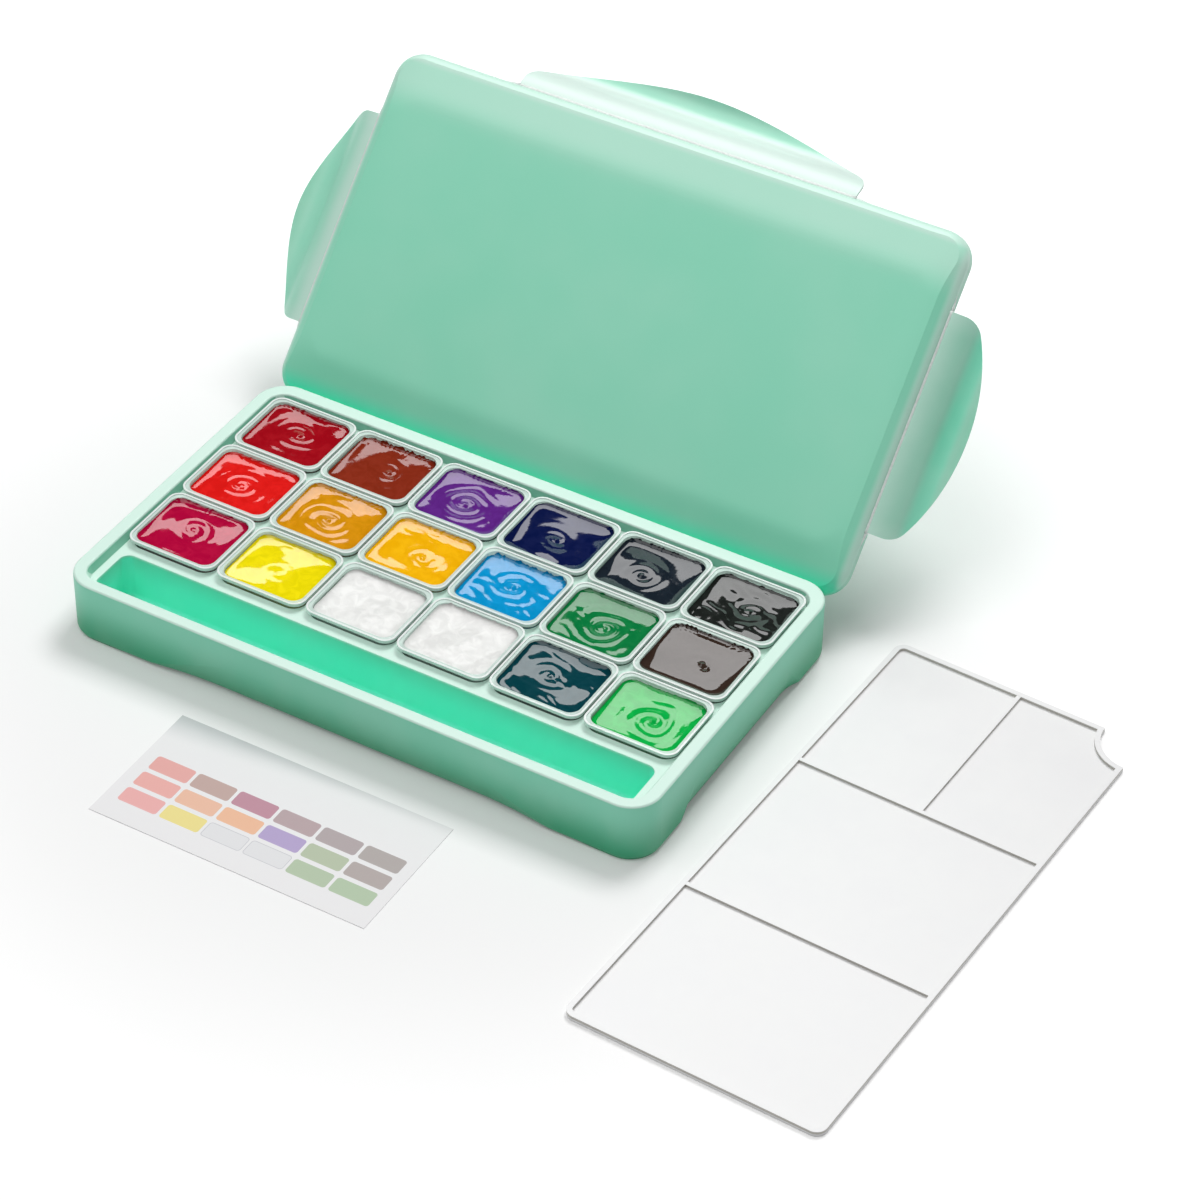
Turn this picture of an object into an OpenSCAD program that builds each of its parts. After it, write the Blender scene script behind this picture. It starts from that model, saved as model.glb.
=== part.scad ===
// Gouache paint set box: a tray with eighteen lift-out paint cups and a brush
// trough, its clip-on lid leaning behind it, a mixing palette and a colour card.
// Millimetres, +Z up, origin on the table under the middle of the tray.

/* [Tray] */
// Width of the tray, left to right
box_w = 300; // [250:1:340]
// Depth of the tray, front to back
box_d = 171.5; // [165:0.5:190]
// Height of the rim above the table
box_h = 31; // [29:0.5:36]
// Plan radius of the tray's corners
corner_r = 15; // [13:0.5:18]
// Width of the rim's flat top at the sides
rim_side = 6.4; // [5.5:0.1:8]
// Width of the rim's flat top at the front
rim_front = 5.9; // [5.5:0.1:8]
// Width of the rim's flat top at the back
rim_back = 7.2; // [5.5:0.1:8.5]
// Height of the rim above the deck that the cups hang through
rim_rise = 4.7; // [4.2:0.1:6]
// How far the rim's inner wall leans in over that height
rim_draft = 1.5; // [0.5:0.1:2]
// Thickness of the tray's walls
wall_t = 2; // [1.6:0.1:2.4]
// Rounding of the rim's outer top edge
rim_round = 1.2; // [0.6:0.1:1.5]
// Rounding of the rim's inner top edge
rim_soft = 0.9; // [0.4:0.1:1.2]
// Rounding of the skirt's bottom edge
foot_round = 2.8; // [1.5:0.1:3.5]

/* [Skirt scoops] */
// How far the skirt draws in at the table in the middle of each side
scoop_in = 4; // [2:0.25:5]
// Height at which the scoop runs out into the upright wall
scoop_top = 16; // [12:0.5:20]
// Length over which a scoop fades out on the front and back
fade_long = 60; // [30:1:70]
// Length over which a scoop fades out on the left and right
fade_short = 19; // [14:1:24]
// Upright wall left between a scoop's end and the corner
foot_run = 10; // [4:1:14]
// Lift of the bottom edge between the corner feet
arch_rise = 2; // [1:0.25:4]

/* [Trough] */
// Height of the trough's floor above the table
trough_floor = 3.5; // [3:0.5:8]
// Land between the front cups and the trough
trough_land = 4.9; // [2:0.1:7]
// Land at each end of the trough
trough_end = 4; // [2:0.5:8]
// Corner radius of the trough at the deck
trough_r = 5; // [4:0.5:8]
// Inward lean of the trough's walls, top to floor
trough_draft = 1; // [0.5:0.1:2]
// Rounding between the trough's walls and its floor
trough_round = 2.5; // [1:0.25:2.75]

/* [Cups] */
// Number of cups in a row
cup_cols = 6; // [6]
// Number of rows
cup_rows = 3; // [3]
// Front to back size of a cup's flange
cup_d = 40.2; // [37:0.1:42]
// Gap between neighbouring flanges in a row
gap_x = 1.3; // [0.8:0.1:3]
// Gap between the flanges of neighbouring rows
gap_y = 1.6; // [0.8:0.1:3]
// Gap between the end flanges and the rim's foot
side_gap = 0.25; // [0.2:0.05:2]
// Gap between the back flanges and the rim's foot
back_gap = 0.8; // [0.3:0.1:3]
// Corner radius of the flange
flange_r = 5.8; // [4.5:0.1:7]
// Thickness of the flange
flange_t = 1.2; // [0.8:0.1:1.6]
// Height of the flange's top above the table
flange_top = 29.8; // [28.8:0.1:30.6]
// Overhang of the flange beyond the cup's body
flange_over = 1.35; // [1:0.05:2]
// Width of the bead around the flange
bead_w = 0.9; // [0.6:0.1:1.2]
// Height of the bead
bead_h = 0.4; // [0.2:0.1:0.6]
// Wall of a cup
cup_wall = 1; // [0.7:0.1:1.3]
// Inward lean of a cup's sides, flange to bottom
cup_draft = 3.75; // [2.5:0.25:4]
// Height of the pocket floors above the table
pocket_floor = 3; // [2:0.5:5]
// Room between a cup and its pocket at the deck
pocket_gap = 0.85; // [0.5:0.05:1]
// Depth of the paint's surface below the flange
paint_drop = 2.2; // [1:0.1:5]
// Room left between the paint and the cup's wall
paint_gap = 0.05; // [0.02:0.01:0.2]

/* [Lid] */
// How far the hinge creases stand outside the tray's walls
crease_out = 1; // [0.8:0.1:2]
// Plan radius of the lid's corners
lid_r = 14; // [13:0.5:18]
// Height of the lid's flat middle above the crease
lid_h = 7.6; // [7.2:0.1:9]
// Radius of the lid's edge just above the crease
lid_edge = 5; // [4:0.25:5.5]
// Turn of that edge before a short straight bevel takes over
lid_turn = 55; // [50:1:58]
// Width of the sloping shoulder along the upper and lower edges
shoulder_long = 22; // [16:0.5:26]
// Width of the sloping shoulder along the left and right edges
shoulder_side = 11; // [9:0.5:14]
// Turn of the shoulders out of the lid's flat middle
shoulder_turn = 8; // [5:0.5:8.5]
// Section radius where a shoulder meets the flat middle
shoulder_arc = 40; // [15:1:50]
// Corner radius of the flat middle
middle_r = 10; // [6:0.5:14]
// Depth of the skirt below the crease
lid_skirt = 4; // [3:0.25:6]
// Thickness of the lid's panel
lid_t = 1.5; // [1.2:0.1:2]
// Depth that the locating ring enters the tray
ring_in = 3; // [1:0.25:3.8]
// Room between the locating ring and the rim
ring_gap = 0.6; // [0.3:0.1:1.5]
// Lean of the lid above the table as it stands
lid_lean = 46; // [44:0.5:48]
// Height of the lid's lower crease above the table
lid_z = 22.3; // [22:0.1:23]
// Sideways offset of the lid from the tray
lid_x = -1; // [-3:0.5:3]
// Air between the lid's edge and the tray's back wall
lid_gap = 0.35; // [0.3:0.05:3]

/* [Latch flaps] */
// Length of the hinge of the upper and lower flaps
hinge_long = 177.5; // [140:1:200]
// Length of the hinge of the side flaps
hinge_short = 105.5; // [80:1:115]
// Reach of a flap at its middle
flap_reach = 27.6; // [24:0.2:29]
// Reach of a flap at its ends
flap_end = 13; // [12:0.5:14]
// Corner radius at a flap's ends
flap_r = 10; // [6:0.5:10.5]
// Thickness of a flap
flap_t = 1.3; // [1.2:0.1:1.6]
// Section radius of the crown beside the hinge
crown_arc = 18; // [14:0.5:20]
// Section radius of the hollow before the lip
hollow_arc = 11; // [10:0.5:13]
// Slope at which the crown leaves the hinge
crown_up = 12; // [4:1:16]
// Slope at which the crown runs into the hollow
crown_down = 32; // [24:1:34]
// Turn of the side flaps behind the lid's plane
side_turn = 14; // [0:1:60]
// Turn of the upper flap
upper_turn = 32; // [0:1:60]
// Turn of the lower flap that the lid stands on
stand_turn = 82.5; // [76:0.5:90]
// Clear air around the hinge
hinge_gap = 0.5; // [0.3:0.05:0.6]

/* [Palette] */
// Length of the palette
palette_l = 276; // [200:1:280]
// Width of the palette
palette_w = 122; // [90:1:126]
// Height of its rim and ribs
palette_h = 2.8; // [2:0.1:5]
// Thickness of its floor
palette_t = 1.3; // [1:0.1:1.8]
// Width of its rim
palette_rim = 2.5; // [2:0.1:4]
// Width of its dividing ribs
palette_rib = 2; // [1.5:0.1:3]
// Distance of the cross ribs from the middle
rib_at = 46.5; // [30:0.5:60]
// Offset of the lengthwise rib from the middle
rib_off = 1; // [-10:0.5:10]
// Corner radius of the palette
palette_r = 5; // [4:0.5:8]
// Radius of the thumb notch at one corner
notch_r = 18.5; // [10:0.5:24]
// Palette's middle, rightwards from the tray's middle
palette_x = 231.2; // [226:0.1:260]
// Palette's middle, backwards from the tray's middle
palette_y = -41.2; // [-60:0.1:10]
// Turn of the palette on the table
palette_turn = -2.5; // [-5:0.5:3]

/* [Colour card] */
// Width of the card
card_w = 140; // [80:1:170]
// Height of the card
card_h = 70; // [50:1:90]
// Thickness of the card
card_t = 0.35; // [0.3:0.05:1]
// Card's middle, rightwards from the tray's middle
card_x = -1.4; // [-40:0.1:20]
// Card's middle, in front of the tray's front wall
card_y = 55.2; // [50:0.1:90]

/* [Hidden] */
$fn = 64;
eps = 0.01;
// overlap of two arcs, in degrees, where one runs on into the other
lap = 0.5;
// how far a straight lies inside the arc that it runs out of
nib = 0.002;

// deck inside the rim
deck_z = box_h - rim_rise;
deck_w = box_w - 2 * (rim_side + rim_draft);
deck_back = box_d / 2 - rim_back - rim_draft;
deck_front = -box_d / 2 + rim_front + rim_draft;
deck_d = deck_back - deck_front;
deck_mid = (deck_back + deck_front) / 2;
rim_in_r = corner_r - rim_side;

// cup grid
cup_w = (deck_w - 2 * side_gap - (cup_cols - 1) * gap_x) / cup_cols;
pitch_x = cup_w + gap_x;
pitch_y = cup_d + gap_y;
row_back = deck_back - back_gap - cup_d / 2;
function col_x(i) = (i - (cup_cols - 1) / 2) * pitch_x;
function row_y(j) = row_back - j * pitch_y;
grid_front = row_y(cup_rows - 1) - cup_d / 2;

// cup body: corner centres stay put while the corner radius shrinks downwards
body_top = flange_top - flange_t;
body_h = body_top - pocket_floor;
body_r = 6.4;
cup_cx = cup_w / 2 - flange_over - body_r;
cup_cy = cup_d / 2 - flange_over - body_r;
body_r0 = body_r - cup_draft;
cavity_floor = pocket_floor + 1.2;
function body_rad(z) = body_r0 + cup_draft * (z - pocket_floor) / body_h;

// pocket around the cup
pocket_top_r = body_rad(deck_z) + pocket_gap;
pocket_bot_r = body_r0 + pocket_gap;
pocket_h = deck_z - pocket_floor;
shell_t = 1.5;
web_x = pitch_x - 2 * (cup_cx + pocket_top_r);
web_y = pitch_y - 2 * (cup_cy + pocket_top_r);

// trough
trough_back = grid_front - trough_land;
trough_d = trough_back - deck_front;
trough_mid = (trough_back + deck_front) / 2;
trough_w = deck_w - 2 * trough_end;
trough_h = deck_z - trough_floor;
trough_t = 1.8;

// gussets under the deck
gusset_t = 1.2;
gusset_z = 0.45 * scoop_top;

// scoop: circular section, upright at scoop_top
scoop_arc = (scoop_top * scoop_top + scoop_in * scoop_in) / (2 * scoop_in);
end_long = box_w / 2 - corner_r - foot_run;
end_short = box_d / 2 - corner_r - foot_run;

// lid, in its own frame: X along the long side, Y up the lid, Z out of its face
lid_w = box_w + 2 * crease_out;
lid_d = box_d + 2 * crease_out;
middle_cx = lid_w / 2 - shoulder_side - middle_r;
middle_cy = lid_d / 2 - shoulder_long - middle_r;
lid_y = box_d / 2 + lid_gap + lid_edge * (1 - cos(lid_lean));
ring_out = crease_out + rim_side + ring_gap;

mint = [0.56, 0.84, 0.73];
white = [0.95, 0.95, 0.96];
clear = [0.90, 0.93, 0.92, 0.45];
paints = [
    [[0.62, 0.04, 0.10], [0.45, 0.10, 0.07], [0.33, 0.13, 0.55],
     [0.03, 0.07, 0.27], [0.05, 0.10, 0.19], [0.07, 0.08, 0.08]],
    [[0.90, 0.10, 0.08], [0.82, 0.52, 0.05], [1.00, 0.64, 0.02],
     [0.04, 0.45, 0.83], [0.04, 0.50, 0.22], [0.22, 0.14, 0.12]],
    [[0.68, 0.03, 0.30], [1.00, 0.95, 0.05], [0.96, 0.96, 0.97],
     [0.95, 0.96, 0.97], [0.00, 0.24, 0.29], [0.09, 0.69, 0.25]]
];

// ---------------------------------------------------------------- helpers

// rectangle with round corners
module round_rect(w, d, r) {
    square([w - 2 * r, d], center = true);
    square([w, d - 2 * r], center = true);
    for (sx = [-1, 1], sy = [-1, 1])
        translate([sx * (w / 2 - r), sy * (d / 2 - r)])
            circle(r);
}

// sweeps a half section (x outwards from the corner centres, y up) around a
// rounded rectangle whose corner centres are at +-cx, +-cy; filled inside
module swept_rect(cx, cy, z0, z1) {
    for (k = [0:3])
        translate([(k == 0 || k == 3 ? 1 : -1) * cx, (k < 2 ? 1 : -1) * cy, 0])
            rotate([0, 0, 90 * k])
                rotate_extrude(angle = 90)
                    children();
    for (s = [0, 180])
        rotate([0, 0, s]) {
            translate([cx, 0, 0])
                rotate([90, 0, 0])
                    linear_extrude(2 * cy, center = true)
                        children();
            translate([0, cy, 0])
                rotate([90, 0, 90])
                    linear_extrude(2 * cx, center = true)
                        children();
        }
    translate([-cx, -cy, z0])
        cube([2 * cx, 2 * cy, z1 - z0]);
}

// block with sloping sides: corner radius r0 at the bottom, r1 at the top
module drafted(cx, cy, r0, r1, h) {
    swept_rect(cx, cy, 0, h)
        polygon([[0, 0], [r0, 0], [r1, h], [0, h]]);
}

// half section of a wall with rounded outer bottom and top edges
module edge_section(r, z0, z1, rb, rt) {
    translate([0, z0])
        square([r - rb, z1 - z0]);
    translate([0, z0 + rb])
        square([r, z1 - z0 - rb - rt]);
    translate([r - rb, z0 + rb])
        circle(rb);
    square([r - rt, z1]);
    translate([r - rt, z1 - rt])
        circle(rt);
}

// ---------------------------------------------------------------- tray

// what a scoop takes off the wall: x inwards from the wall's face, y up;
// t shifts the curve inwards for the wall's other side
module scoop_section(t) {
    difference() {
        translate([-1, -1])
            square([13, scoop_top + 1]);
        translate([scoop_arc, scoop_top])
            circle(scoop_arc - t);
    }
}

// one scoop along X in a wall whose face is the plane y = 0, material at y > 0
module scoop(end, fade, t) {
    flat = end - fade;
    half = fade / 2;
    turn_r = (half * half + scoop_in * scoop_in / 4) / scoop_in;
    sweep = asin(min(0.99, (half + 0.8) / turn_r));
    rotate([90, 0, 90])
        linear_extrude(2 * flat, center = true)
            scoop_section(t);
    for (m = [0, 1])
        mirror([m, 0, 0]) {
            translate([flat, scoop_in - turn_r, 0])
                rotate([0, 0, 90 - sweep])
                    rotate_extrude(angle = sweep + 2)
                        translate([turn_r - scoop_in, 0])
                            scoop_section(t);
            difference() {
                translate([flat + half, -1, -1])
                    cube([half, 9, scoop_top + 1]);
                translate([end, turn_r, 0])
                    rotate([0, 0, 180])
                        rotate_extrude(angle = 180)
                            translate([turn_r + scoop_in, 0])
                                mirror([1, 0])
                                    scoop_keep(t);
            }
        }
}

// the wall that the fading end of a scoop leaves standing
module scoop_keep(t) {
    intersection() {
        translate([-1, -2])
            square([12.5, scoop_top + 3]);
        union() {
            translate([scoop_arc, scoop_top])
                circle(scoop_arc - t);
            translate([t, scoop_top])
                square([13, 2]);
        }
    }
}

module scoops(t) {
    for (s = [0, 180])
        rotate([0, 0, s]) {
            translate([0, -box_d / 2, 0])
                scoop(end_long, fade_long, t);
            rotate([0, 0, 90])
                translate([0, -box_w / 2, 0])
                    scoop(end_short, fade_short, t);
        }
}

// lifted bottom edge between the feet, a bar with cosine ramps
module arch(end, fade, depth) {
    ramp = [for (k = [0:8]) [end + 3 - fade * k / 8, arch_rise * (1 - cos(180 * k / 8)) / 2]];
    left = [for (k = [8:-1:0]) [-ramp[k][0], ramp[k][1]]];
    rotate([90, 0, 0])
        linear_extrude(depth, center = true)
            polygon(concat([[-end - 3, -1], [end + 3, -1]], ramp, left));
}

module tray_outside() {
    difference() {
        swept_rect(box_w / 2 - corner_r, box_d / 2 - corner_r, 0, box_h)
            edge_section(corner_r, 0, box_h, foot_round, rim_round);
        scoops(0);
    }
}

// space under the rim, inside the skirt; the corner feet stay closed by a plate
module tray_inside() {
    difference() {
        translate([0, 0, -1])
            linear_extrude(box_h - wall_t + 1)
                round_rect(box_w - 2 * wall_t, box_d - 2 * wall_t, corner_r - wall_t);
        scoops(wall_t);
        for (sx = [-1, 1], sy = [-1, 1])
            translate([sx * (box_w / 2 - corner_r), sy * (box_d / 2 - corner_r), -2])
                cylinder(h = 4, r = corner_r - wall_t);
    }
}

// recess inside the rim, down to the deck, grown by t on the underside
module recess(t, z0, z1) {
    r0 = rim_in_r - rim_draft + t;
    slope = rim_draft / rim_rise;
    translate([0, deck_mid, 0])
        swept_rect(deck_w / 2 - rim_in_r + rim_draft, deck_d / 2 - rim_in_r + rim_draft, z0, z1)
            polygon([[0, z0], [r0 + slope * (z0 - deck_z), z0],
                     [r0 + slope * (z1 - deck_z), z1], [0, z1]]);
}

// rounds the rim's inner top edge off: what it takes away above the recess
module rim_flare() {
    lean = atan(rim_draft / rim_rise);
    zc = box_h - rim_soft;
    xc = rim_in_r - rim_soft * tan(lean) + rim_soft / cos(lean);
    zt = zc + rim_soft * sin(lean);
    translate([0, deck_mid, 0])
        swept_rect(deck_w / 2 - rim_in_r + rim_draft, deck_d / 2 - rim_in_r + rim_draft, zt, box_h + 1)
            difference() {
                translate([0, zt])
                    square([xc - nib, box_h + 1 - zt]);
                translate([xc - nib, zc])
                    circle(rim_soft);
            }
}

module pockets() {
    for (j = [0:cup_rows - 1], i = [0:cup_cols - 1])
        translate([col_x(i), row_y(j), pocket_floor])
            drafted(cup_cx, cup_cy, pocket_bot_r,
                    pocket_bot_r + (pocket_top_r - pocket_bot_r) * (pocket_h + 1) / pocket_h,
                    pocket_h + 1);
}

// solid that the pockets are sunk into, and the coring between them underneath
module pocket_block() {
    z0 = pocket_floor - shell_t;
    cx = (cup_cols - 1) / 2 * pitch_x + cup_cx;
    cy = (cup_rows - 1) / 2 * pitch_y + cup_cy;
    translate([0, (row_y(0) + row_y(cup_rows - 1)) / 2, z0])
        drafted(cx, cy, pocket_bot_r + shell_t, pocket_top_r + shell_t - 0.3, deck_z - 1 - z0);
}

module core_groove(web, length) {
    low = web / 2 + pocket_top_r - pocket_bot_r - shell_t;
    rotate([90, 0, 0])
        linear_extrude(length, center = true)
            polygon([[-low - 0.3, 0], [low + 0.3, 0], [0.5, pocket_h * 0.86], [-0.5, pocket_h * 0.86]]);
}

module coring() {
    mid = (row_y(0) + row_y(cup_rows - 1)) / 2;
    for (i = [0:cup_cols - 2])
        translate([(col_x(i) + col_x(i + 1)) / 2, mid, 0])
            core_groove(web_x, cup_rows * pitch_y - 1);
    for (j = [0:cup_rows - 2])
        translate([0, (row_y(j) + row_y(j + 1)) / 2, 0])
            rotate([0, 0, 90])
                core_groove(web_y, cup_cols * pitch_x - 1);
}

// the trough's outside, with walls of thickness t
module trough(t) {
    translate([0, trough_mid, trough_floor - t])
        drafted(trough_w / 2 - trough_r, trough_d / 2 - trough_r,
                trough_r - trough_draft + t, trough_r + t - 0.05, trough_h + t - 1);
}

// the trough's hollow, with a rounded floor edge
module trough_room() {
    lean = atan(trough_draft / trough_h);
    low = trough_r - trough_draft;
    r = trough_round;
    xc = low + r * tan(lean) - r / cos(lean);
    top = trough_h + eps;
    translate([0, trough_mid, trough_floor])
        swept_rect(trough_w / 2 - trough_r, trough_d / 2 - trough_r, 0, top) {
            polygon([[0, 0], [xc, 0], [xc, r], [xc + (r - nib) * cos(lean), r - (r - nib) * sin(lean)],
                     [trough_r - nib, top], [0, top]]);
            intersection() {
                square([trough_r, r + 0.2]);
                translate([xc, r - nib])
                    circle(r);
            }
        }
}

// gussets between the skirt and the tub
module gussets() {
    skin = wall_t - 0.2;
    back = box_d / 2 - row_back - cup_cy - pocket_bot_r - shell_t + skin;
    side = box_w / 2 - col_x(cup_cols - 1) - cup_cx - pocket_bot_r - shell_t + skin;
    front = deck_front + trough_draft - trough_t + box_d / 2 + 0.2;
    for (i = [0:cup_cols - 2], s = [-1, 1])
        translate([(col_x(i) + col_x(i + 1)) / 2 - gusset_t / 2,
                   s > 0 ? box_d / 2 - back : -box_d / 2 + skin, gusset_z])
            cube([gusset_t, (s > 0 ? back : front) - skin, deck_z - gusset_z]);
    for (j = [0:cup_rows - 2], s = [-1, 1])
        translate([s > 0 ? box_w / 2 - side : -box_w / 2 + skin,
                   (row_y(j) + row_y(j + 1)) / 2 - gusset_t / 2, gusset_z])
            cube([side - skin, gusset_t, deck_z - gusset_z]);
}

module base() {
    color(mint)
        difference() {
            union() {
                difference() {
                    tray_outside();
                    tray_inside();
                }
                recess(wall_t, deck_z - wall_t, box_h - wall_t);
                pocket_block();
                trough(trough_t);
                gussets();
            }
            recess(0, deck_z, box_h + 1);
            rim_flare();
            trough_room();
            pockets();
            coring();
            arch(end_long, fade_long * 0.6, box_d + 2);
            rotate([0, 0, 90])
                arch(end_short, fade_short, box_w + 2);
        }
    color(mint)
        cylinder(h = pocket_h * 0.86, r = wall_t * 1.5);
}

// ---------------------------------------------------------------- cups

module cup(i, j) {
    translate([col_x(i), row_y(j), 0])
        color(clear)
            difference() {
                union() {
                    translate([0, 0, pocket_floor])
                        drafted(cup_cx, cup_cy, body_r0, body_r, body_h);
                    translate([0, 0, body_top])
                        linear_extrude(flange_t)
                            round_rect(cup_w, cup_d, flange_r);
                    translate([0, 0, body_top])
                        linear_extrude(flange_t + bead_h)
                            difference() {
                                round_rect(cup_w, cup_d, flange_r);
                                round_rect(cup_w - 2 * bead_w, cup_d - 2 * bead_w, flange_r - bead_w);
                            }
                }
                translate([0, 0, cavity_floor])
                    drafted(cup_cx, cup_cy, body_rad(cavity_floor) - cup_wall,
                            body_rad(flange_top + 1) - cup_wall, flange_top + 1 - cavity_floor);
                translate([0, 0, pocket_floor - 1])
                    linear_extrude(1.4)
                        round_rect(2 * (cup_cx + body_r0) - 4, 2 * (cup_cy + body_r0) - 4, 2);
            }
}

// level of each fill, a little different from cup to cup
function fill_top(i, j) = flange_top - paint_drop - 0.5 * sin(97 * i + 151 * j);

module paint(i, j) {
    top = fill_top(i, j);
    translate([col_x(i), row_y(j), cavity_floor + paint_gap])
        color(paints[j][i])
            drafted(cup_cx, cup_cy, body_rad(cavity_floor) - cup_wall - paint_gap,
                    body_rad(top) - cup_wall - paint_gap, top - cavity_floor - paint_gap);
}

// ---------------------------------------------------------------- lid

// half section of the lid's edge: upright skirt, tight roll, then a bevel that
// runs on up past the shoulders; t inside the outer face
module edge_roll(t, low) {
    r = lid_edge - t;
    tip_x = lid_r - lid_edge + (r - nib) * cos(lid_turn);
    tip_z = (r - nib) * sin(lid_turn);
    top = lid_h + 1;
    translate([0, low])
        square([lid_r - t, -low]);
    translate([0, -eps])
        intersection() {
            square([lid_r, tip_z + 0.4]);
            translate([lid_r - lid_edge, eps])
                circle(r);
        }
    polygon([[0, -eps], [tip_x, -eps], [tip_x, tip_z],
             [tip_x - (top - tip_z) * tan(lid_turn), top], [0, top]]);
}

// half section of the flat middle and the shoulders that slope away from it
module shoulders(t, low) {
    r = shoulder_arc - t;
    flat = middle_r - shoulder_arc * tan(shoulder_turn / 2);
    xt = flat + (r - nib) * sin(shoulder_turn);
    zt = lid_h - shoulder_arc + (r - nib) * cos(shoulder_turn);
    far = middle_r + 1.25 * shoulder_long;
    translate([0, low])
        square([flat, lid_h - t - nib - low]);
    intersection() {
        translate([0, low])
            square([xt + 0.6, lid_h + 1 - low]);
        translate([flat, lid_h - shoulder_arc])
            circle(r);
    }
    polygon([[0, low], [far, low], [far, zt - (far - xt) * tan(shoulder_turn)],
             [xt, zt], [0, zt]]);
}

// the lid as a full block, t inside its outer face, down to the height low
module lid_block(t, low) {
    intersection() {
        swept_rect(lid_w / 2 - lid_r, lid_d / 2 - lid_r, low, lid_h + 1)
            edge_roll(t, low);
        swept_rect(middle_cx, middle_cy, low - 1, lid_h - t - nib)
            shoulders(t, low - 1);
    }
}

// groove that a flap's hinge turns in, along X at the lid's edge y = 0
module hinge_room(length) {
    rotate([0, 90, 0])
        cylinder(h = length + 1, r = flap_t / 2 + hinge_gap, center = true);
    translate([-length / 2 - 0.5, -2, -lid_skirt - 1])
        cube([length + 1, 2 + flap_t / 2 + hinge_gap, lid_skirt + 1]);
}

// plan of the ring that drops inside the rim
module ring_plan() {
    difference() {
        round_rect(lid_w - 2 * ring_out, lid_d - 2 * ring_out, 7);
        round_rect(lid_w - 2 * ring_out - 2.4, lid_d - 2 * ring_out - 2.4, 5.8);
    }
}

module lid_body() {
    difference() {
        union() {
            lid_block(0, -lid_skirt);
            translate([0, 0, -lid_skirt - ring_in])
                linear_extrude(ring_in + 1)
                    ring_plan();
        }
        difference() {
            lid_block(lid_t, -lid_skirt - 1);
            // thicker skirt wall, so that its edge lands on the rim
            translate([0, 0, -lid_skirt - 2])
                linear_extrude(lid_skirt + 2)
                    difference() {
                        round_rect(lid_w, lid_d, lid_r);
                        round_rect(lid_w - 5.2, lid_d - 5.2, lid_r - 2.6);
                    }
            // the ring runs on up to the panel
            translate([0, 0, -lid_skirt - 2])
                linear_extrude(lid_skirt + 2 + lid_h)
                    ring_plan();
        }
        for (s = [0, 180])
            rotate([0, 0, s]) {
                translate([0, -lid_d / 2, 0])
                    hinge_room(hinge_long);
                rotate([0, 0, 90])
                    translate([0, -lid_w / 2, 0])
                        hinge_room(hinge_short);
            }
    }
}

// stands the lid's frame up behind the tray
module on_lid() {
    translate([lid_x, lid_y, lid_z])
        rotate([lid_lean, 0, 0])
            translate([0, lid_d / 2, 0])
                children();
}

module lid() {
    color(mint)
        on_lid()
            lid_body();
}

// ---------------------------------------------------------------- flaps

// outline of a flap, hinge along X, reaching towards -Y: a broad arc between
// two rounded ends, as a fine polygon
function flap_rim(length) =
    let (
        rise = flap_reach - flap_end,
        big = (length * length / 4 + rise * rise) / (2 * rise),
        cx = length / 2 - flap_r,
        cy = flap_reach - big + sqrt((big - flap_r) * (big - flap_r) - cx * cx),
        join = asin(cx / (big - flap_r))
    )
    concat(
        [for (k = [0:9]) let (a = k * (90 - join) / 9)
            [cx + flap_r * cos(a), -cy - flap_r * sin(a)]],
        [for (k = [1:27]) let (a = join - 2 * join * k / 28)
            [big * sin(a), big - flap_reach - big * cos(a)]],
        [for (k = [0:9]) let (a = 90 + join + k * (90 - join) / 9)
            [-cx + flap_r * cos(a), -cy - flap_r * sin(a)]]
    );

// arc of a band, thickness flap_t, from angle a0 to a1 on radius r
module arc_band(r, a0, a1) {
    far = 2 * r;
    mid = (a0 + a1) / 2;
    intersection() {
        difference() {
            circle(r + flap_t / 2);
            circle(r - flap_t / 2);
        }
        polygon([[0, 0], far * [cos(a0), sin(a0)], far * [cos(mid), sin(mid)], far * [cos(a1), sin(a1)]]);
    }
}

// wave of a flap, drawn along X: the hinge bead, a crown that leaves it rising
// and then falls away, and a hollow that turns up again into the flared lip
module flap_wave(length) {
    hollow_x = crown_arc * (sin(crown_up) + sin(crown_down)) + hollow_arc * sin(crown_down);
    hollow_y = crown_arc * (cos(crown_down) - cos(crown_up)) + hollow_arc * cos(crown_down);
    lip_up = asin(min(0.97, (flap_reach - hollow_x) / hollow_arc));
    rotate([90, 0, -90]) {
        linear_extrude(length, center = true)
            circle(flap_t / 2);
        linear_extrude(length, center = true)
            translate([crown_arc * sin(crown_up), -crown_arc * cos(crown_up)])
                arc_band(crown_arc, 90 - crown_down - lap, 90 + crown_up);
        linear_extrude(length, center = true)
            translate([hollow_x, hollow_y])
                arc_band(hollow_arc, 270 - crown_down, 270 + lip_up + 6);
    }
}

module flap_body(length) {
    intersection() {
        flap_wave(length + 2);
        translate([0, 0, -10])
            linear_extrude(20)
                polygon(concat([[-length / 2, flap_t], [length / 2, flap_t]], flap_rim(length)));
    }
}

// places a flap on the lid's edge: side 0 lower, 1 right, 2 upper, 3 left
module flap(side, length, fold) {
    out = side % 2 == 0 ? lid_d / 2 : lid_w / 2;
    color(mint)
        on_lid()
            rotate([0, 0, 90 * side])
                translate([0, -out, 0])
                    rotate([fold, 0, 0])
                        flap_body(length);
}

module flap_lower() {
    flap(0, hinge_long, stand_turn);
}

module flap_right() {
    flap(1, hinge_short, side_turn);
}

module flap_upper() {
    flap(2, hinge_long, upper_turn);
}

module flap_left() {
    flap(3, hinge_short, side_turn);
}

// ---------------------------------------------------------------- palette and card

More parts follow.
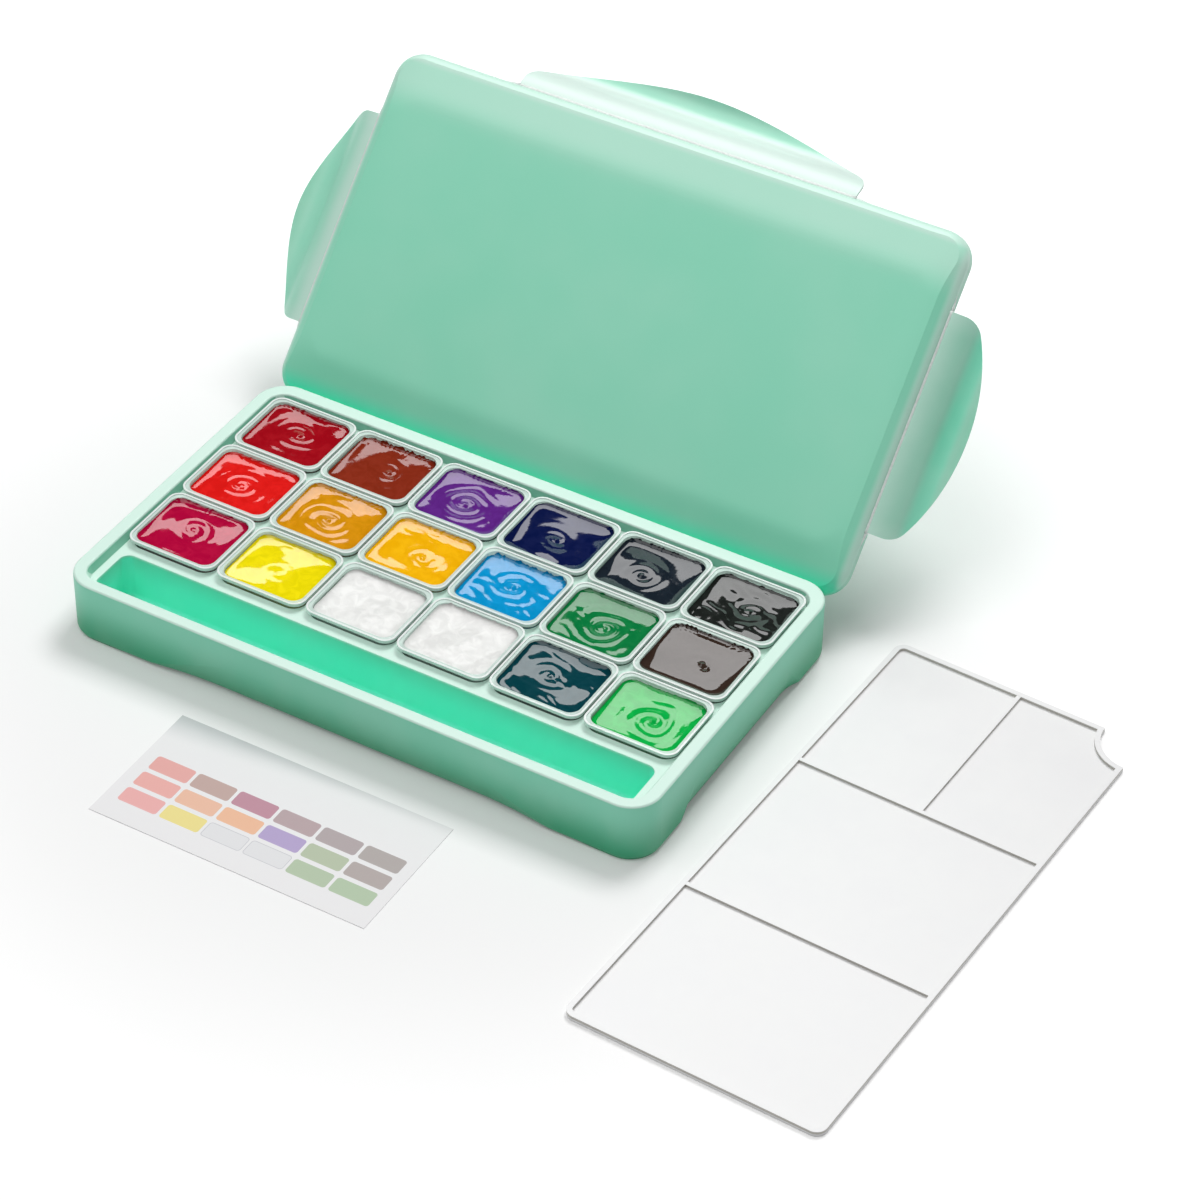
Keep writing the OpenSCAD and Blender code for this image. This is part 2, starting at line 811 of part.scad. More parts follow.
module palette_plan(inset) {
    difference() {
        round_rect(palette_w - 2 * inset, palette_l - 2 * inset, palette_r - inset);
        translate([palette_w / 2, palette_l / 2])
            circle(notch_r + inset);
    }
}

module palette() {
    color(white)
        translate([palette_x, palette_y, 0])
            rotate([0, 0, palette_turn]) {
                linear_extrude(palette_t)
                    palette_plan(0);
                linear_extrude(palette_h)
                    difference() {
                        palette_plan(0);
                        palette_plan(palette_rim);
                    }
                for (s = [-1, 1])
                    translate([-palette_w / 2 + 1, s * rib_at - palette_rib / 2, 0])
                        cube([palette_w - 2, palette_rib, palette_h - 0.1]);
                translate([rib_off - palette_rib / 2, rib_at, 0])
                    cube([palette_rib, palette_l / 2 - rib_at - 1, palette_h - 0.1]);
            }
}

module colour_card() {
    color(white)
        translate([card_x - card_w / 2, -box_d / 2 - card_y - card_h / 2, 0])
            cube([card_w, card_h, card_t]);
}

base();
lid();
flap_upper();
flap_lower();
flap_left();
flap_right();
palette();
colour_card();
for (j = [0:cup_rows - 1], i = [0:cup_cols - 1]) {
    cup(i, j);
    paint(i, j);
}
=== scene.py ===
"""Gouache paint set box: materials, paint surfaces, hinge films and a studio.

The box is a mint tray with eighteen clear paint cups, a lid with four latch
flaps that leans behind it, a white palette and a colour card.  The frame
brings the rigid parts; this file gives them their finish and adds what is soft
or thin.  Lengths are in metres, and angles in degrees where a comment says so.
"""
import math
from collections import namedtuple

import bpy
import numpy as np
from mathutils import Matrix, Vector


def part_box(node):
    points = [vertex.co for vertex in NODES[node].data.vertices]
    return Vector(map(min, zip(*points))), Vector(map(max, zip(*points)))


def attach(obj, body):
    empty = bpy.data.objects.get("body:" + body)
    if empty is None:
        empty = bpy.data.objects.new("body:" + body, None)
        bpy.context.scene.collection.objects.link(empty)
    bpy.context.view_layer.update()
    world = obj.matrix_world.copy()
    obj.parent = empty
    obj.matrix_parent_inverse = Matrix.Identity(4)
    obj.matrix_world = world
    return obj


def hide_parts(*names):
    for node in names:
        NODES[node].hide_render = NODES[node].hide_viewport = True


bl_info = {
    "name": "Gouache Paint Set Box",
    "version": (1, 0, 0),
    "blender": (4, 5, 0),
    "location": "View3D > Sidebar > Paint Set",
    "description": "Dresses a gouache paint set box and lights it for a picture",
    "category": "Object",
}

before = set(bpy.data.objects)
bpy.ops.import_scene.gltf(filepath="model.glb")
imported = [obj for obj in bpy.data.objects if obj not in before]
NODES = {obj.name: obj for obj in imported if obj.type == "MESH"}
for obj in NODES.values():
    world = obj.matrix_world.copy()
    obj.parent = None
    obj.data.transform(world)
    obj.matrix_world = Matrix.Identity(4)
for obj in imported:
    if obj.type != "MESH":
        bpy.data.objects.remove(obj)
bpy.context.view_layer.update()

# ------------------------------------------------------------------ the set
# how a paint lies: its swirl, central nib, waves, wrinkles, film left on the wall,
# and how it rises to the back of its cup, in degrees
Style = namedtuple("Style", "swirl nib wave wrinkle film slope")

# the cups in reading order, back row first: name of the finish, colour, style
CUPS = [
    ("crimson", (0.385, 0.001, 0.008), 0.80, 0.9, 0.65, 0.10, 0.3, 1.2),
    ("red_brown", (0.262, 0.024, 0.007), 0.25, 0.9, 0.55, 0.00, 0.9, 1.3),
    ("violet", (0.118, 0.016, 0.240), 0.95, 1.0, 0.50, 0.10, 0.6, 1.1),
    ("ultramarine", (0.001, 0.006, 0.064), 0.20, 1.1, 0.80, 0.00, 0.2, 0.8),
    ("prussian", (0.009, 0.016, 0.026), 0.40, 0.9, 0.90, 0.05, 0.5, 0.6),
    ("black", (0.012, 0.015, 0.013), 0.40, 0.6, 0.80, 0.55, 0.3, 0.4),
    ("vermilion", (0.800, 0.009, 0.007), 0.80, 0.9, 0.60, 0.05, 0.2, 0.8),
    ("ochre", (0.720, 0.290, 0.001), 1.10, 0.9, 0.60, 0.10, 0.4, 1.4),
    ("orange_yellow", (1.000, 0.480, 0.000), 0.15, 0.7, 0.60, 0.20, 0.3, 1.2),
    ("cerulean", (0.000, 0.310, 0.660), 0.80, 1.3, 0.60, 0.35, 0.9, 0.7),
    ("emerald", (0.001, 0.205, 0.050), 1.30, 1.0, 0.55, 0.15, 0.3, 0.5),
    ("umber", (0.040, 0.022, 0.015), 0.12, 1.2, 0.25, 0.03, 1.0, 3.4),
    ("magenta", (0.485, 0.000, 0.045), 0.35, 0.5, 1.00, 0.05, 0.4, 0.8),
    ("lemon", (0.940, 0.775, 0.000), 0.10, 0.5, 0.60, 0.00, 0.2, 1.2),
    ("white_a", (0.860, 0.855, 0.840), 0.25, 0.3, 0.45, 0.05, 0.3, 1.8),
    ("white_b", (0.860, 0.855, 0.840), 0.20, 0.3, 0.55, 0.05, 0.6, 1.4),
    ("teal", (0.000, 0.050, 0.066), 0.45, 0.6, 0.80, 0.35, 0.3, 0.3),
    ("green", (0.001, 0.480, 0.070), 1.00, 1.2, 0.60, 0.05, 0.3, 1.0),
]
COLUMNS = 6

# a cup, as in the frame: its corner centres, its low edge, the corner radius
# there, how fast that radius grows upwards, the wall, and the highest paint
CUP_CX, CUP_CY = 0.01535, 0.01235
CUP_LOW, CUP_R0, CUP_LEAN, CUP_WALL = 0.0030, 0.00265, 3.75 / 25.6, 0.00105
PAINT_TOP = 0.02978

# there, half the cup's inside and its corner radius, and how far the paint's level
# lies below the top of the plain fill
HALF_X, HALF_Y, LEVEL_R, BELOW_FILL = 0.02055, 0.01755, 0.006, 0.0004
# the rise by the back, the left and the right wall: its reach, and its share at a side
BACK_REACH, LEFT_REACH, RIGHT_REACH = 0.0032, 0.0034, 0.0030
LEFT_SHARE, RIGHT_SHARE = 0.55, 0.35

# the stirred spiral: its pitch, reach and calm middle, how far that strays from the
# cup's middle, and how much the spiral is flattened
SPIRAL_PITCH, SPIRAL_REACH, SPIRAL_EYE, STRAY, FLATTEN = 0.0056, 0.0105, 0.0018, 0.003, 1.15
# height and radius of the nib in it, and of the dent at DENT_X, DENT_Y from there
NIB_UP, NIB_R = 0.0006, 0.0013
DENT_DOWN, DENT_R, DENT_X, DENT_Y = 0.0004, 0.0018, 0.0022, -0.0010
# the wrinkles' pitch and height against the spiral's, and how near the wall all sinks
WRINKLE_PITCH, WRINKLE_SHARE, CALM = 0.0068, 0.8, 0.0025
# lengths of the waves: the broad ones, those that warp the spiral, bend the wrinkles
# and thin them in patches; then how much they warp and bend, in radians
BROAD, WARP, BEND, PATCH = 0.024, 0.018, 0.012, 0.013
WARP_BY, BEND_BY = 1.3, 2.4
# the film on the back wall: that wall's place, the film's height, the length of its
# tears and of their teeth; and the length of the waves in the climb
BACK_WALL, FILM_UP, TEAR, TOOTH, CLIMB_WAVE = 0.018, 0.0011, 0.006, 0.0022, 0.020

# rings of a fill, as shares of the bottom's size, shares of the side's height, and
# distances from the wall on the top: close ones, then first and last of the even ones
BOTTOM_RINGS, SIDE_RINGS = (0.45, 0.92, 1.0), (0.03, 0.35, 0.70, 0.93, 1.0)
EDGE_RINGS, TOP_RINGS = (0.00006, 0.00015, 0.0003, 0.0005, 0.0008, 0.0012), (0.0017, 0.0155)
# distances from the wall at which the top closes and over which the climb and the painted
# shade by the wall fade
MIDDLE, CLIMB_FADE, PAINT_SHADE_FADE = 0.0168, 0.0007, 0.0015
# seeds of a fill's line on the wall and of its top, to which its index is added
WALL_SEED, TOP_SEED = 100, 500
# how much a paint mirrors, and a white one
MIRROR, WHITE_MIRROR = 0.5, 0.12

# the lid's own axes in the world: lower crease, direction up the lid, out of its
# face, and its size
LID_X, LID_Y, LID_Z = -0.001, 0.0876267, 0.0223
LEAN_C, LEAN_S = math.cos(math.radians(46)), math.sin(math.radians(46))
LID_UP = np.array([0.0, LEAN_C, LEAN_S])
LID_OUT = np.array([0.0, -LEAN_S, LEAN_C])
LID_W, LID_D = 0.302, 0.1735

# each flap's hinge on the lid: its middle across and up the lid, direction, length
LONG_HINGE, SHORT_HINGE = 0.1775, 0.1055
HINGES = {
    "flap_lower": ((0.0, 0.0), (1.0, 0.0), LONG_HINGE),
    "flap_upper": ((0.0, LID_D), (-1.0, 0.0), LONG_HINGE),
    "flap_left": ((-LID_W / 2, LID_D / 2), (0.0, -1.0), SHORT_HINGE),
    "flap_right": ((LID_W / 2, LID_D / 2), (0.0, 1.0), SHORT_HINGE),
}
# a film's roll: how much longer than the hinge, its wobble as a share of the radius
# and in radians a metre; and a web's radius at its tip, its swelling to the root, and
# its gap from the hinge
ROLL_SPARE, WOBBLE, WOBBLE_TURN = 0.0009, 0.03, 900
WEB_TIP, WEB_SWELL, WEB_GAP = 0.00010, 0.00080, 0.0006

# ------------------------------------------------------------ places of a tone
# each pair holds the two ends of a soft step, where a tone starts and is complete;
# on the tray
# DECK_UP: where the painted sheen of the upper faces begins; the second pair: the heights over
# which the outer wall's painted shade fades
DECK_UP, WALL_SHADE_FADE = (0.0245, 0.0262), (0.001, 0.027)
# where the trough's painted glow lies
TROUGH_SIDE = (0.1385, 0.1375)
TROUGH_BACK, TROUGH_FRONT = (-0.0520, -0.0530), (-0.0800, -0.0790)
OUTER_SIDE, OUTER_END = (0.1440, 0.1445), (0.0798, 0.0803)
# the rim's inner wall, painted in shade below the rim's top; the outer wall's painted sheen
# also stops below the rim's top
RIM_SIDE, RIM_BACK, RIM_FRONT = (0.1419, 0.1422), (0.0769, 0.0772), (-0.0782, -0.0785)
RIM_TOP, RIM_BELOW = (0.0306, 0.0300), (0.0305, 0.0299)
# up the lid, across it and out of its face
# the lid's painted shade and painted glow by its foot, and the painted sheen on its shoulder
LID_SHADE, LID_GLOW, LID_SHOULDER_SHEEN = (0.0300, 0.0120), (0.0140, 0.0030), (0.1420, 0.1600)
# the lid's edges, which take a painted highlight, and its skirt
LID_SIDE, LID_TOP, LID_SKIRT = (0.1470, 0.1500), (0.1670, 0.1700), (0.0005, -0.0015)
# away from a flap's hinge, and along it as a share of half its length
# the first two pairs place the painted shade in a flap's hollow
HOLLOW_SHADE_IN, HOLLOW_SHADE_OUT, FLAP_ENDS = (0.0120, 0.0175), (0.0245, 0.0205), (0.80, 1.0)
# up a cup, up the palette, and the patchiness of a cloud of noise
# BEAD_UP: where the cup's bead is, which takes a painted highlight
FLANGE_UP, BEAD_UP = (0.02845, 0.02865), (0.02985, 0.03010)
# the sides of the palette's rim and ribs, which are painted in shade
RIB_UP, RIB_TOP = (0.00134, 0.00150), (0.00268, 0.00240)
CLOUDY = (0.3, 0.8)

# tones beside the adjustable ones: the outer wall painted in shade at its foot and lit at its
# head, the rim's inner wall and the lid's foot in painted shade, a haze for the random clouds,
# and the flaps' whitening with painted sheen
WALL_SHADED_FOOT, WALL_LIT_HEAD = (0.040, 0.430, 0.215), (0.250, 0.770, 0.545)
RIM_INSIDE_SHADE, LID_FOOT_SHADE = (0.170, 0.560, 0.390), (0.120, 0.640, 0.400)
HAZE, WHITENING_AND_SHEEN = (0.9, 1.0, 0.95), (0.690, 0.840, 0.775)

# a flap's tone: how strong the whitening and painted sheen by the hinge are, between which
# distances that fades, and how strong the painted shade in the hollow is
FLAP_TONES = {
    "flap_upper": (1.0, (0.0225, 0.0170), 0.0),
    "flap_left": (0.60, (0.0110, 0.0015), 0.10),
    "flap_right": (0.30, (0.0110, 0.0015), 0.45),
    "flap_lower": (0.30, (0.0110, 0.0015), 0.45),
}

# the card: its middle, the first swatch from there, the swatches' pitch, half size
# of one without its round corners, their radius, and its printed tints, rows from
# the far edge
CARD_X, CARD_Y = -0.0014, -0.14095
FIRST_X, FIRST_Y = CARD_X - 0.0535, CARD_Y + 0.0036
PITCH_X, PITCH_Y = 0.02156, -0.0114
SWATCH_X, SWATCH_Y, SWATCH_R = 0.0085, 0.0030, 0.0015
# painted shade: the span up the card over which the paper greys towards its far edge
CARD_FAR_SHADE = (CARD_Y + 0.025, CARD_Y + 0.041)
TINTS = [
    [(0.78, 0.22, 0.18), (0.42, 0.20, 0.15), (0.40, 0.03, 0.13),
     (0.33, 0.17, 0.19), (0.28, 0.19, 0.20), (0.27, 0.21, 0.19)],
    [(0.83, 0.25, 0.20), (0.84, 0.37, 0.17), (0.87, 0.36, 0.11),
     (0.30, 0.17, 0.52), (0.32, 0.42, 0.21), (0.29, 0.21, 0.19)],
    [(0.84, 0.26, 0.24), (0.86, 0.69, 0.04), (0.74, 0.74, 0.76),
     (0.74, 0.74, 0.76), (0.30, 0.45, 0.22), (0.29, 0.46, 0.22)],
]

# the lamps: place, aim, size, the setting of their power, whether they light matt
# faces, and whether shiny faces mirror them.  A soft light over the box, a panel
# that only shiny faces mirror, and a light behind it that draws the shadows
LAMPS = {
    "key_light": ((-0.45, -0.55, 2.0), (0.0, 0.0, 0.0), (1.5, 1.5), "key", True, True),
    "back_panel": ((-0.57, 0.99, 1.76), (0.0, 0.0, 0.03), (1.1, 0.95), "back", False, True),
    "shadow_light": ((0.05, 0.98, 1.84), (0.0, 0.0, 0.0), (0.8, 0.8), "shadow", True, False),
}

# the floor: half its side, its own light by the box, and the two steps in which that
# light grows with the distance from the box: from, to, and by how much
FLOOR_HALF, FLOOR_GLOW = 9, 0.10
FLOOR_STEPS = ((0.16, 0.37, 0.20), (0.60, 2.60, 0.50))

# the camera, as solved from the photograph: place, and its right and back
CAMERA_AT = (0.75293, -1.18059, 1.20427)
CAMERA_RIGHT, CAMERA_BACK = (0.86206, 0.50661, 0.01401), (0.37926, -0.66320, 0.64523)


# ------------------------------------------------------------- sizes, colours
class BoxLook(bpy.types.PropertyGroup):
    """Finish of the moulded tray, lid and flaps."""

    mint: bpy.props.FloatVectorProperty(
        name="Plastic", description="Colour of the moulded plastic",
        default=(0.235, 0.660, 0.470), size=3, min=0, max=1, subtype="COLOR")
    # painted sheen: this paler colour stands in for the sheen on the tray's upper faces, and
    # is also used for the lid's shoulder and edges and on the flaps
    pale: bpy.props.FloatVectorProperty(
        name="Rim and deck", description="Paler colour of the tray's upper faces",
        default=(0.660, 0.880, 0.780), size=3, min=0, max=1, subtype="COLOR")
    # painted glow: this rich colour stands in for light gathering by the lid's foot, and is
    # also used for the painted shade in the flaps' hollows
    deep: bpy.props.FloatVectorProperty(
        name="Glow", description="Rich colour where light gathers by the lid's foot",
        default=(0.050, 0.820, 0.500), size=3, min=0, max=1, subtype="COLOR")
    # painted glow: the trough's brighter, richer colour stands in for light gathering in it
    trough: bpy.props.FloatVectorProperty(
        name="Trough", description="Bright colour of the brush trough",
        default=(0.200, 0.960, 0.740), size=3, min=0, max=1, subtype="COLOR")
    # painted light: a lighter copy of the plastic for the lid's panel and most flaps, which
    # the lamps light less than the tray
    panel: bpy.props.FloatVectorProperty(
        name="Lid panel", description="Colour of the lid's broad panel",
        default=(0.285, 0.790, 0.565), size=3, min=0, max=1, subtype="COLOR")
    grain: bpy.props.FloatProperty(
        name="Grain", description="Height of the moulded surface's fine grain",
        default=0.00002, min=0, max=0.0005, unit="LENGTH", precision=5)
    roughness: bpy.props.FloatProperty(
        name="Roughness", description="Roughness of the moulded surface",
        default=0.42, min=0, max=1, subtype="FACTOR")


class PaintLook(bpy.types.PropertyGroup):
    """How the paint lies in the cups."""

    wave: bpy.props.FloatProperty(
        name="Waves", description="Height of the broad waves in the paint",
        default=0.0005, min=0, max=0.002, unit="LENGTH", precision=5)
    ridge: bpy.props.FloatProperty(
        name="Swirl", description="Height of the stirred ridges",
        default=0.00022, min=0, max=0.001, unit="LENGTH", precision=5)
    bowl: bpy.props.FloatProperty(
        name="Bowl", description="How far the paint rises towards the cup's back wall",
        default=0.0010, min=0, max=0.0015, unit="LENGTH", precision=5)
    climb: bpy.props.FloatProperty(
        name="Climb", description="How far the paint climbs the cup's wall",
        default=0.0005, min=0, max=0.0015, unit="LENGTH", precision=5)
    gloss: bpy.props.FloatProperty(
        name="Roughness", description="Roughness of the wet paint",
        default=0.05, min=0, max=1, subtype="FACTOR")


class HingeLook(bpy.types.PropertyGroup):
    """The films that the flaps turn on."""

    radius: bpy.props.FloatProperty(
        name="Radius", description="Radius of the film's roll in the lid's groove",
        default=0.00112, min=0.0005, max=0.00114, unit="LENGTH", precision=5)
    web: bpy.props.FloatProperty(
        name="Web", description="Length of the web at each end of a hinge",
        default=0.007, min=0.002, max=0.01, unit="LENGTH", precision=4)
    colour: bpy.props.FloatVectorProperty(
        name="Film", description="Colour of the creased film",
        default=(0.800, 0.860, 0.830), size=3, min=0, max=1, subtype="COLOR")


class StageLook(bpy.types.PropertyGroup):
    """Light and camera."""

    lens: bpy.props.FloatProperty(
        name="Lens", description="Focal length on a 36 mm sensor",
        default=123.28, min=20, max=300, unit="CAMERA")
    world: bpy.props.FloatProperty(
        name="Room", description="Strength of the even light of the room",
        default=0.28, min=0, max=2)
    shine: bpy.props.FloatProperty(
        name="Room in gloss", description="Strength of the room as shiny faces mirror it",
        default=0.04, min=0, max=2)
    key: bpy.props.FloatProperty(
        name="Key", description="Power of the soft light over the box",
        default=14.3, min=0, max=200, unit="POWER")
    back: bpy.props.FloatProperty(
        name="Back light", description="Power of the panel that the wet paint mirrors",
        default=19.0, min=0, max=200, unit="POWER")
    shadow: bpy.props.FloatProperty(
        name="Shadow light", description="Power of the light that casts the shadows",
        default=22.8, min=0, max=200, unit="POWER")


LOOKS = {"box": BoxLook, "paint": PaintLook, "hinge": HingeLook, "stage": StageLook}


def look(name):
    """The scene's settings of that name."""
    return getattr(bpy.context.scene, "paintset_" + name)


# -------------------------------------------------------------- shader maths
class Wire:
    """A node's output that takes Python's operators and adds Math nodes."""

    def __init__(self, maker, socket):
        self.maker, self.socket = maker, socket

    def _do(self, operation, *values):
        return self.maker.math(operation, *values)

    def __add__(self, o): return self._do("ADD", self, o)
    def __sub__(self, o): return self._do("SUBTRACT", self, o)
    def __rsub__(self, o): return self._do("SUBTRACT", o, self)
    def __mul__(self, o): return self._do("MULTIPLY", self, o)
    def __truediv__(self, o): return self._do("DIVIDE", self, o)
    def __abs__(self): return self._do("ABSOLUTE", self)
    __radd__, __rmul__ = __add__, __mul__


class Maker:
    """Builds one node tree, of a material or a world; every node comes from node()."""

    def __init__(self, owner):
        owner.use_nodes = True
        self.owner, self.tree = owner, owner.node_tree
        self.tree.nodes.clear()

    def node(self, kind, settings=None, sockets=None):
        """Adds a node; settings go first, and stops fill a ramp's stops."""
        n = self.tree.nodes.new(kind)
        for key, value in (settings or {}).items():
            if key == "stops":
                ramp = n.color_ramp
                while len(ramp.elements) < len(value):
                    ramp.elements.new(0.5)
                for element, (place, colour) in zip(ramp.elements, value):
                    element.position = place
                    element.color = (*colour, 1.0)
            elif key == "ramp":
                n.color_ramp.interpolation = value
            else:
                setattr(n, key, value)
        for key, value in (sockets or {}).items():
            if isinstance(value, Wire):
                self.tree.links.new(value.socket, n.inputs[key])
            elif isinstance(value, (tuple, list)) and len(value) == 3 and len(
                    n.inputs[key].default_value) == 4:
                n.inputs[key].default_value = (*value, 1.0)
            else:
                n.inputs[key].default_value = value
        return n

    def out(self, kind, settings=None, sockets=None, output=0):
        return Wire(self, self.node(kind, settings, sockets).outputs[output])

    def math(self, operation, *values):
        return self.out("ShaderNodeMath", {"operation": operation}, dict(enumerate(values)))

    def most(self, first, *others):
        """The greatest of the values."""
        for other in others:
            first = self.math("MAXIMUM", first, other)
        return first

    def length(self, a, b):
        """Length of the vector a, b."""
        return self.math("SQRT", a * a + b * b)

    def place(self):
        """x, y and z of the object's own coordinates."""
        where = self.out("ShaderNodeTexCoord", output="Object")
        split = self.node("ShaderNodeSeparateXYZ", None, {0: where})
        return where, [Wire(self, split.outputs[k]) for k in range(3)]

    def soft(self, value, low, high):
        """0 at low, 1 at high, with a soft step between."""
        return self.out("ShaderNodeMapRange", {"interpolation_type": "SMOOTHSTEP"},
                        {"Value": value, "From Min": low, "From Max": high})

    def noise(self, where, size, detail=3.0, rough=0.55, warp=0.0):
        """Noise whose grain is about `size` metres."""
        return self.out("ShaderNodeTexNoise", None,
                        {"Vector": where, "Scale": 1 / size, "Detail": detail,
                         "Roughness": rough, "Distortion": warp})

    def mix(self, factor, a, b, blend="MIX"):
        """Mixes two colours."""
        return self.out("ShaderNodeMix", {"data_type": "RGBA", "blend_type": blend},
                        {0: factor, 6: a, 7: b}, output=2)

    def bump(self, height, distance):
        return self.out("ShaderNodeBump", None, {"Height": height, "Distance": distance})

    def finish(self, **values):
        """Principled shader with the named sockets, into the material's output."""
        shader = self.out("ShaderNodeBsdfPrincipled", None,
                          {k.replace("_", " "): v for k, v in values.items()})
        self.node("ShaderNodeOutputMaterial", None, {"Surface": shader})
        return self.owner


def new_material(name):
    return Maker(bpy.data.materials.new(name))


def wear(node_name, material):
    """Puts a material on a rigid part."""
    part = NODES[node_name]
    if not part.material_slots:
        part.data.materials.append(None)
    for s in part.material_slots:
        s.material = material


# ------------------------------------------------------------------ materials
def lid_axes(y, z):
    """How far up the lid a place is, and how far out of its face."""
    up, out = y - LID_Y, z - LID_Z
    return up * LEAN_C + out * LEAN_S, out * LEAN_C - up * LEAN_S


def moulded(m, where, colour, cloud, grain_size):
    """Finish that the tray and the lid share; the noise is a little rougher in parts."""
    b = look("box")
    grain = m.noise(where, grain_size, 2.0, 0.6)
    return m.finish(Base_Color=colour, Roughness=b.roughness + (cloud - 0.5) * 0.10,
                    IOR=1.49, Normal=m.bump(grain, b.grain))


def tray_plastic():
    """Satin mint plastic, paler on the upper faces (a painted sheen) and bright and rich
    in the trough (a painted glow).

    Down the outer wall the tone runs from the pale rim to a deeper green: painted
    light above, painted shade towards the foot.  The rim's inner wall is deeper than
    its top: painted shade.
    """
    m, b = new_material("mint_tray"), look("box")
    where, (x, y, z) = m.place()
    cloud = m.noise(where, 0.030, 2.0)
    up = m.soft(z, *DECK_UP)
    trough = m.soft(y, *TROUGH_BACK) * m.soft(abs(x), *TROUGH_SIDE) * m.soft(y, *TROUGH_FRONT)
    outer = m.most(m.soft(abs(x), *OUTER_SIDE), m.soft(abs(y), *OUTER_END))
    beyond = m.most(m.soft(abs(x), *RIM_SIDE), m.soft(y, *RIM_BACK), m.soft(y, *RIM_FRONT))
    inner = beyond * (1 - outer) * m.soft(z, *RIM_BELOW)
    # painted light and shade: the outer wall runs from a lit pale tone at its head to a shaded
    # deeper green at its foot
    wall = m.mix(m.soft(z, *WALL_SHADE_FADE), WALL_SHADED_FOOT, WALL_LIT_HEAD)
    colour = m.mix(outer, tuple(b.mint), wall)
    # painted sheen on the upper faces, stopping below the rim's top on the outside
    colour = m.mix(up * (1 - outer * m.soft(z, *RIM_TOP)), colour, tuple(b.pale))
    # painted shade on the rim's inner wall
    colour = m.mix(inner * 0.85, colour, RIM_INSIDE_SHADE)
    # painted glow in the trough, below the deck
    colour = m.mix(trough * (1 - up), colour, tuple(b.trough))
    colour = m.mix(m.soft(cloud, 0.35, 0.75) * 0.06, colour, HAZE)
    return moulded(m, where, colour, cloud, 0.0007)


def lid_plastic():
    """The same plastic on the lid, its broad panel painted lighter to make up for the
    lamps lighting it less; painted shade over its lowest few centimetres, and a
    painted glow in the last millimetres by the tray.

    The shoulder at the top and the edges outside the panel are paler: painted sheen
    and highlights.
    """
    m, b = new_material("mint_lid"), look("box")
    where, (x, y, z) = m.place()
    cloud = m.noise(where, 0.060, 2.0)
    v, w = lid_axes(y, z)
    # painted shade over the lid's lowest few centimetres
    colour = m.mix(m.soft(v, *LID_SHADE) * 0.35, tuple(b.panel), LID_FOOT_SHADE)
    # painted glow in the last millimetres by the tray
    colour = m.mix(m.soft(v, *LID_GLOW), colour, tuple(b.deep))
    # painted sheen on the lid's upper shoulder
    colour = m.mix(m.soft(v, *LID_SHOULDER_SHEEN) * 0.42, colour, tuple(b.pale))
    # painted highlight on the lid's edges outside the panel
    edge = m.most(m.soft(abs(x - LID_X), *LID_SIDE), m.soft(v, *LID_TOP))
    colour = m.mix(edge * 0.66, colour, tuple(b.pale))
    # the skirt under the face goes back towards the plain plastic, without the panel's painted
    # light
    colour = m.mix(m.soft(w, *LID_SKIRT) * 0.4, colour, tuple(b.mint))
    colour = m.mix(m.soft(cloud, *CLOUDY) * 0.07, colour, HAZE)
    return moulded(m, where, colour, cloud, 0.0008)


def flap_plastic(flap):
    """Thin plastic of a latch flap: whitening and painted sheen by the hinge, painted shade in
    the hollow, pale ends.

    The tone follows the distance from the hinge's axis.
    """
    m, b = new_material("mint_" + flap), look("box")
    where, (x, y, z) = m.place()
    v, w = lid_axes(y, z)
    if flap in ("flap_left", "flap_right"):
        out, along = abs(x - LID_X) - LID_W / 2, (v - LID_D / 2) * (2 / SHORT_HINGE)
    else:
        out, along = abs(v - LID_D / 2) - LID_D / 2, (x - LID_X) * (2 / LONG_HINGE)
    reach = m.length(out, w)
    cloud = m.noise(where, 0.025, 2.0)
    whitish, fade, hollow_shade = FLAP_TONES[flap]
    hollow = m.soft(reach, *HOLLOW_SHADE_IN) * m.soft(reach, *HOLLOW_SHADE_OUT)
    # painted shade: the right flap starts from the plain plastic, the others from the lid
    # panel's lighter copy; then each is a quarter of the way to the pale colour
    plain = b.mint if flap == "flap_right" else b.panel
    colour = m.mix(0.25, tuple(plain), tuple(b.pale))
    # whitening and painted sheen near the hinge; on the upper flap the sheen covers nearly all
    # of it
    colour = m.mix(m.soft(reach, *fade) * whitish, colour, WHITENING_AND_SHEEN)
    # painted shade in the hollow, in the rich colour of the lid's glow
    colour = m.mix(hollow * hollow_shade, colour, tuple(b.deep))
    colour = m.mix(m.soft(abs(along), *FLAP_ENDS) * 0.30, colour, tuple(b.pale))
    colour = m.mix(m.soft(cloud, *CLOUDY) * 0.15, colour, tuple(b.pale))
    grain = m.noise(where, 0.0008, 2.0, 0.6)
    return m.finish(Base_Color=colour, Roughness=b.roughness - 0.06,
                    IOR=1.49, Normal=m.bump(grain, b.grain))


def clear_plastic():
    """Clear cup: a whitish flange over a clear body, fuller where it turns away."""
    m = new_material("clear_plastic")
    where, (_, _, z) = m.place()
    edge = m.out("ShaderNodeLayerWeight", None, {"Blend": 0.35}, "Facing")
    haze = m.noise(where, 0.004, 2.0)
    bead = m.soft(z, *BEAD_UP)
    alpha = 0.14 + edge * 0.20 + m.soft(z, *FLANGE_UP) * 0.46 + bead * 0.20
    alpha = alpha + (haze - 0.5) * 0.06
    # painted highlight: the bead at the flange's edge is whiter
    colour = m.mix(bead, (0.800, 0.935, 0.880), (0.950, 0.990, 0.975))
    return m.finish(Base_Color=colour, Roughness=0.12 + (haze - 0.5) * 0.06,
                    IOR=1.5, Alpha=alpha, Normal=m.bump(haze, 0.00002))


